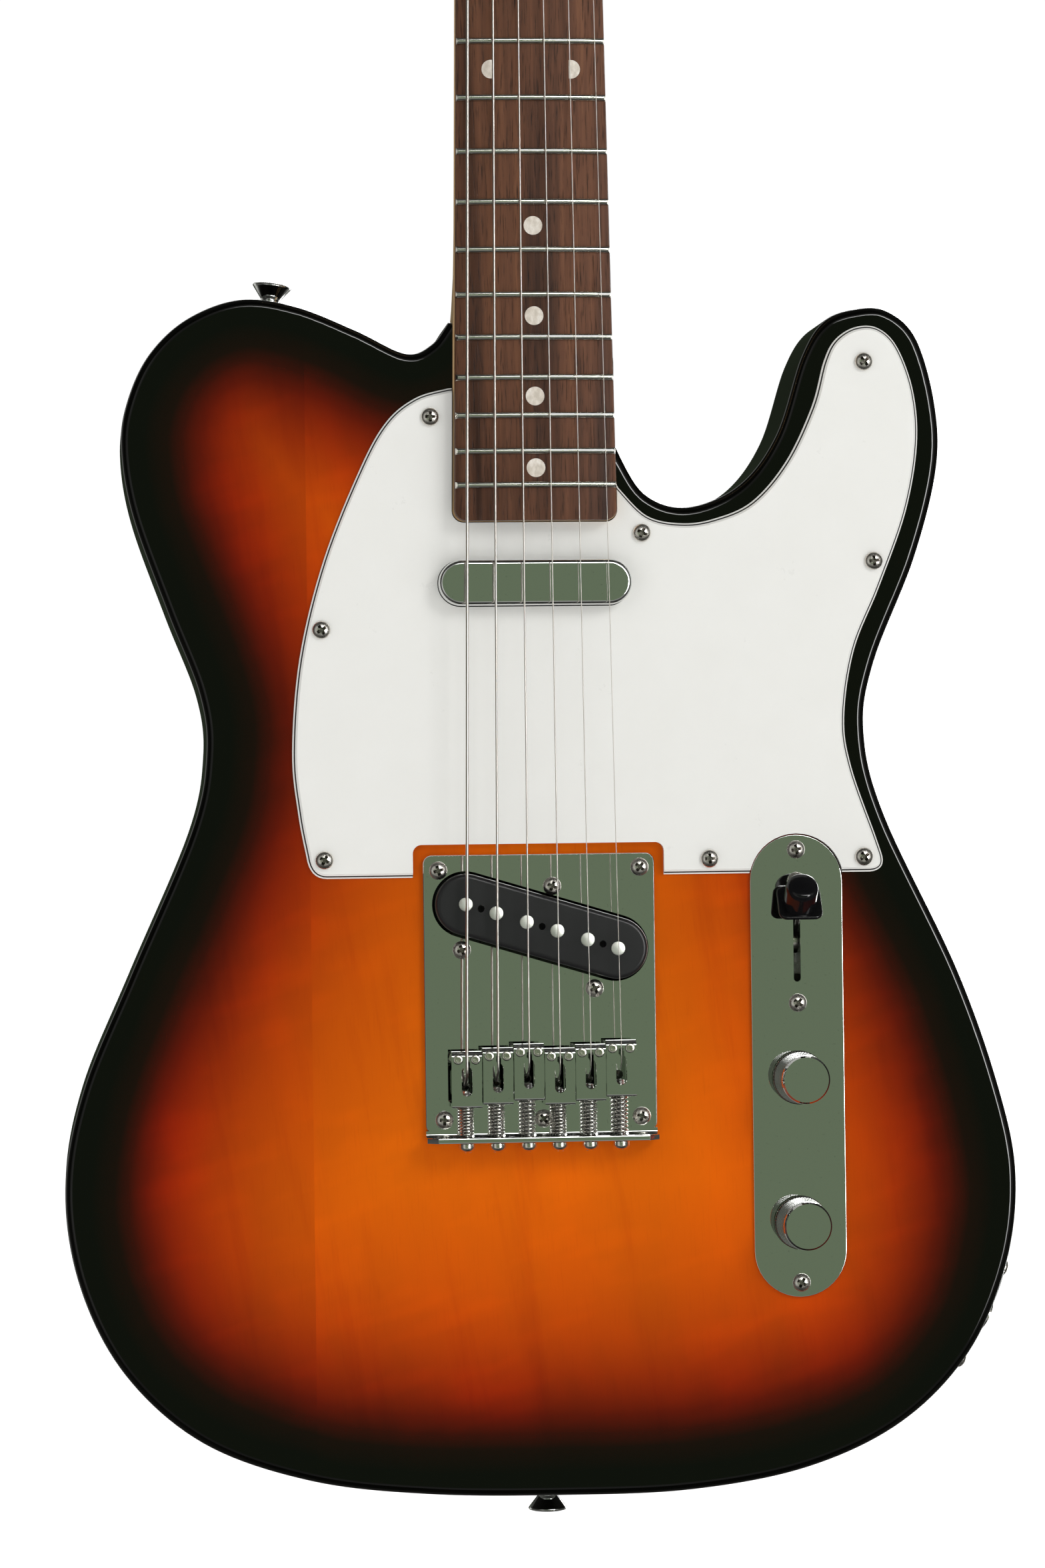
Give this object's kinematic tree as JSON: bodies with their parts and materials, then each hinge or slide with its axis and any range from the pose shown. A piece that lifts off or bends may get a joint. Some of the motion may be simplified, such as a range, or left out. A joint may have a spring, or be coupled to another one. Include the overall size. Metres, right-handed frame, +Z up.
{
  "type": "electric guitar",
  "caption": "Six-string solid-body electric guitar with a bolt-on neck, two pickups, a pickguard, a flat bridge with sliding saddles, in-line tuners and a control plate.",
  "frame": {"origin": "on the centre line where the nut meets the fretboard, in the plane of the body front face; a hanger yoke holds the neck here", "axes": "+Z up the neck to the headstock, strings face -Y, low E side at -X"},
  "size_m": [0.3256, 0.066, 0.9876],
  "materials": {
    "sunburst_lacquer": "gloss sunburst lacquer, amber middle to black edge",
    "maple": "satin clear lacquer",
    "rosewood": "oiled, open grain",
    "bone": "polished",
    "guard_laminate": "three-ply white, black, white with a bevelled edge",
    "chrome": "polished chrome plate",
    "nickel": "nickel plate",
    "steel": "satin steel",
    "black_plastic": "moulded gloss black",
    "string_wire": "drawn and wound steel"
  },
  "bodies": {
    "guitar": {"body": "sunburst_lacquer", "neck": "maple", "fretboard": "rosewood", "nut": "bone", "pickguard": "guard_laminate", "neck_pickup": "chrome", "bridge_plate": "chrome", "bridge_pickup": "black_plastic", "control_plate": "chrome", "selector_switch": "steel", "volume_pot": "steel", "tone_pot": "steel", "jack_plate": "chrome", "output_jack": "nickel", "neck_plate": "chrome", "strap_button_upper": "chrome", "strap_button_lower": "chrome", "string_tree": "chrome", "tuner_housing_1": "chrome", "tuner_housing_2": "chrome", "tuner_housing_3": "chrome", "tuner_housing_4": "chrome", "tuner_housing_5": "chrome", "tuner_housing_6": "chrome", "string_1": "string_wire", "string_2": "string_wire", "string_3": "string_wire", "string_4": "string_wire", "string_5": "string_wire", "string_6": "string_wire"},
    "selector_lever": {"switch_lever": "nickel", "switch_tip": "black_plastic"},
    "volume_control": {"volume_knob": "chrome", "volume_shaft": "steel"},
    "tone_control": {"tone_knob": "chrome", "tone_shaft": "steel"},
    "intonation_screw_1": {"intonation_screw_1": "nickel"},
    "saddle_1": {"saddle_1": "steel"},
    "intonation_screw_2": {"intonation_screw_2": "nickel"},
    "saddle_2": {"saddle_2": "steel"},
    "intonation_screw_3": {"intonation_screw_3": "nickel"},
    "saddle_3": {"saddle_3": "steel"},
    "intonation_screw_4": {"intonation_screw_4": "nickel"},
    "saddle_4": {"saddle_4": "steel"},
    "intonation_screw_5": {"intonation_screw_5": "nickel"},
    "saddle_5": {"saddle_5": "steel"},
    "intonation_screw_6": {"intonation_screw_6": "nickel"},
    "saddle_6": {"saddle_6": "steel"},
    "tuner_button_1": {"tuner_button_1": "chrome"},
    "tuner_post_1": {"tuner_post_1": "chrome"},
    "tuner_button_2": {"tuner_button_2": "chrome"},
    "tuner_post_2": {"tuner_post_2": "chrome"},
    "tuner_button_3": {"tuner_button_3": "chrome"},
    "tuner_post_3": {"tuner_post_3": "chrome"},
    "tuner_button_4": {"tuner_button_4": "chrome"},
    "tuner_post_4": {"tuner_post_4": "chrome"},
    "tuner_button_5": {"tuner_button_5": "chrome"},
    "tuner_post_5": {"tuner_post_5": "chrome"},
    "tuner_button_6": {"tuner_button_6": "chrome"},
    "tuner_post_6": {"tuner_post_6": "chrome"}
  },
  "joints": [
    {"name": "selector_swing", "type": "hinge", "parent": "guitar", "child": "selector_lever", "pos_m": [0.0883, 0.0084, -0.6113], "axis": [1, 0, 0], "range_deg": [0, 76]},
    {"name": "volume_turn", "type": "hinge", "parent": "guitar", "child": "volume_control", "pos_m": [0.0883, 0, -0.658], "axis": [0, 1, 0], "range_deg": [-300, 0]},
    {"name": "tone_turn", "type": "hinge", "parent": "guitar", "child": "tone_control", "pos_m": [0.0883, 0, -0.7075], "axis": [0, 1, 0], "range_deg": [-300, 0]},
    {"name": "intonation_1_turn", "type": "hinge", "parent": "guitar", "child": "intonation_screw_1", "pos_m": [-0.02625, -0.0072, -0.68], "axis": [0, 0, 1], "range_deg": [-1800.5, 1800.5]},
    {"name": "saddle_1_slide", "type": "slide", "parent": "guitar", "child": "saddle_1", "axis": [0, 0, 1], "range_m": [-0.0025, 0.0025]},
    {"name": "intonation_2_turn", "type": "hinge", "parent": "guitar", "child": "intonation_screw_2", "pos_m": [-0.01575, -0.0072, -0.68], "axis": [0, 0, 1], "range_deg": [-1800.5, 1800.5]},
    {"name": "saddle_2_slide", "type": "slide", "parent": "guitar", "child": "saddle_2", "axis": [0, 0, 1], "range_m": [-0.0025, 0.0025]},
    {"name": "intonation_3_turn", "type": "hinge", "parent": "guitar", "child": "intonation_screw_3", "pos_m": [-0.00525, -0.0072, -0.68], "axis": [0, 0, 1], "range_deg": [-1800.5, 1800.5]},
    {"name": "saddle_3_slide", "type": "slide", "parent": "guitar", "child": "saddle_3", "axis": [0, 0, 1], "range_m": [-0.0025, 0.0025]},
    {"name": "intonation_4_turn", "type": "hinge", "parent": "guitar", "child": "intonation_screw_4", "pos_m": [0.00525, -0.0072, -0.68], "axis": [0, 0, 1], "range_deg": [-1800.5, 1800.5]},
    {"name": "saddle_4_slide", "type": "slide", "parent": "guitar", "child": "saddle_4", "axis": [0, 0, 1], "range_m": [-0.0025, 0.0025]},
    {"name": "intonation_5_turn", "type": "hinge", "parent": "guitar", "child": "intonation_screw_5", "pos_m": [0.01575, -0.0072, -0.68], "axis": [0, 0, 1], "range_deg": [-1800.5, 1800.5]},
    {"name": "saddle_5_slide", "type": "slide", "parent": "guitar", "child": "saddle_5", "axis": [0, 0, 1], "range_m": [-0.0025, 0.0025]},
    {"name": "intonation_6_turn", "type": "hinge", "parent": "guitar", "child": "intonation_screw_6", "pos_m": [0.02625, -0.0072, -0.68], "axis": [0, 0, 1], "range_deg": [-1800.5, 1800.5]},
    {"name": "saddle_6_slide", "type": "slide", "parent": "guitar", "child": "saddle_6", "axis": [0, 0, 1], "range_m": [-0.0025, 0.0025]},
    {"name": "tuner_1_button_turn", "type": "hinge", "parent": "guitar", "child": "tuner_button_1", "pos_m": [-0.04625, 0.0179, 0.03146], "axis": [-0.9618, 0, 0.2737], "continuous": true},
    {"name": "tuner_1_post_turn", "type": "hinge", "parent": "guitar", "child": "tuner_post_1", "pos_m": [-0.0214, -0.0015, 0.03], "axis": [0, 1, 0], "continuous": true},
    {"name": "tuner_2_button_turn", "type": "hinge", "parent": "guitar", "child": "tuner_button_2", "pos_m": [-0.03925, 0.0179, 0.05606], "axis": [-0.9618, 0, 0.2737], "continuous": true},
    {"name": "tuner_2_post_turn", "type": "hinge", "parent": "guitar", "child": "tuner_post_2", "pos_m": [-0.0144, -0.0015, 0.0546], "axis": [0, 1, 0], "continuous": true},
    {"name": "tuner_3_button_turn", "type": "hinge", "parent": "guitar", "child": "tuner_button_3", "pos_m": [-0.03225, 0.0179, 0.08066], "axis": [-0.9618, 0, 0.2737], "continuous": true},
    {"name": "tuner_3_post_turn", "type": "hinge", "parent": "guitar", "child": "tuner_post_3", "pos_m": [-0.0074, -0.0015, 0.0792], "axis": [0, 1, 0], "continuous": true},
    {"name": "tuner_4_button_turn", "type": "hinge", "parent": "guitar", "child": "tuner_button_4", "pos_m": [-0.02525, 0.0179, 0.10526], "axis": [-0.9618, 0, 0.2737], "continuous": true},
    {"name": "tuner_4_post_turn", "type": "hinge", "parent": "guitar", "child": "tuner_post_4", "pos_m": [-0.0004, -0.0015, 0.1038], "axis": [0, 1, 0], "continuous": true},
    {"name": "tuner_5_button_turn", "type": "hinge", "parent": "guitar", "child": "tuner_button_5", "pos_m": [-0.01825, 0.0179, 0.12986], "axis": [-0.9618, 0, 0.2737], "continuous": true},
    {"name": "tuner_5_post_turn", "type": "hinge", "parent": "guitar", "child": "tuner_post_5", "pos_m": [0.0066, -0.0015, 0.1284], "axis": [0, 1, 0], "continuous": true},
    {"name": "tuner_6_button_turn", "type": "hinge", "parent": "guitar", "child": "tuner_button_6", "pos_m": [-0.01125, 0.0179, 0.15446], "axis": [-0.9618, 0, 0.2737], "continuous": true},
    {"name": "tuner_6_post_turn", "type": "hinge", "parent": "guitar", "child": "tuner_post_6", "pos_m": [0.0136, -0.0015, 0.153], "axis": [0, 1, 0], "continuous": true}
  ],
  "couplings": [
    {"joint": "intonation_1_turn", "follows": "saddle_1_slide", "rad_per_m": 12566},
    {"joint": "intonation_2_turn", "follows": "saddle_2_slide", "rad_per_m": 12566},
    {"joint": "intonation_3_turn", "follows": "saddle_3_slide", "rad_per_m": 12566},
    {"joint": "intonation_4_turn", "follows": "saddle_4_slide", "rad_per_m": 12566},
    {"joint": "intonation_5_turn", "follows": "saddle_5_slide", "rad_per_m": 12566},
    {"joint": "intonation_6_turn", "follows": "saddle_6_slide", "rad_per_m": 12566},
    {"joint": "tuner_1_post_turn", "follows": "tuner_1_button_turn", "ratio": 0.071429},
    {"joint": "tuner_2_post_turn", "follows": "tuner_2_button_turn", "ratio": 0.071429},
    {"joint": "tuner_3_post_turn", "follows": "tuner_3_button_turn", "ratio": 0.071429},
    {"joint": "tuner_4_post_turn", "follows": "tuner_4_button_turn", "ratio": 0.071429},
    {"joint": "tuner_5_post_turn", "follows": "tuner_5_button_turn", "ratio": 0.071429},
    {"joint": "tuner_6_post_turn", "follows": "tuner_6_button_turn", "ratio": 0.071429}
  ]
}
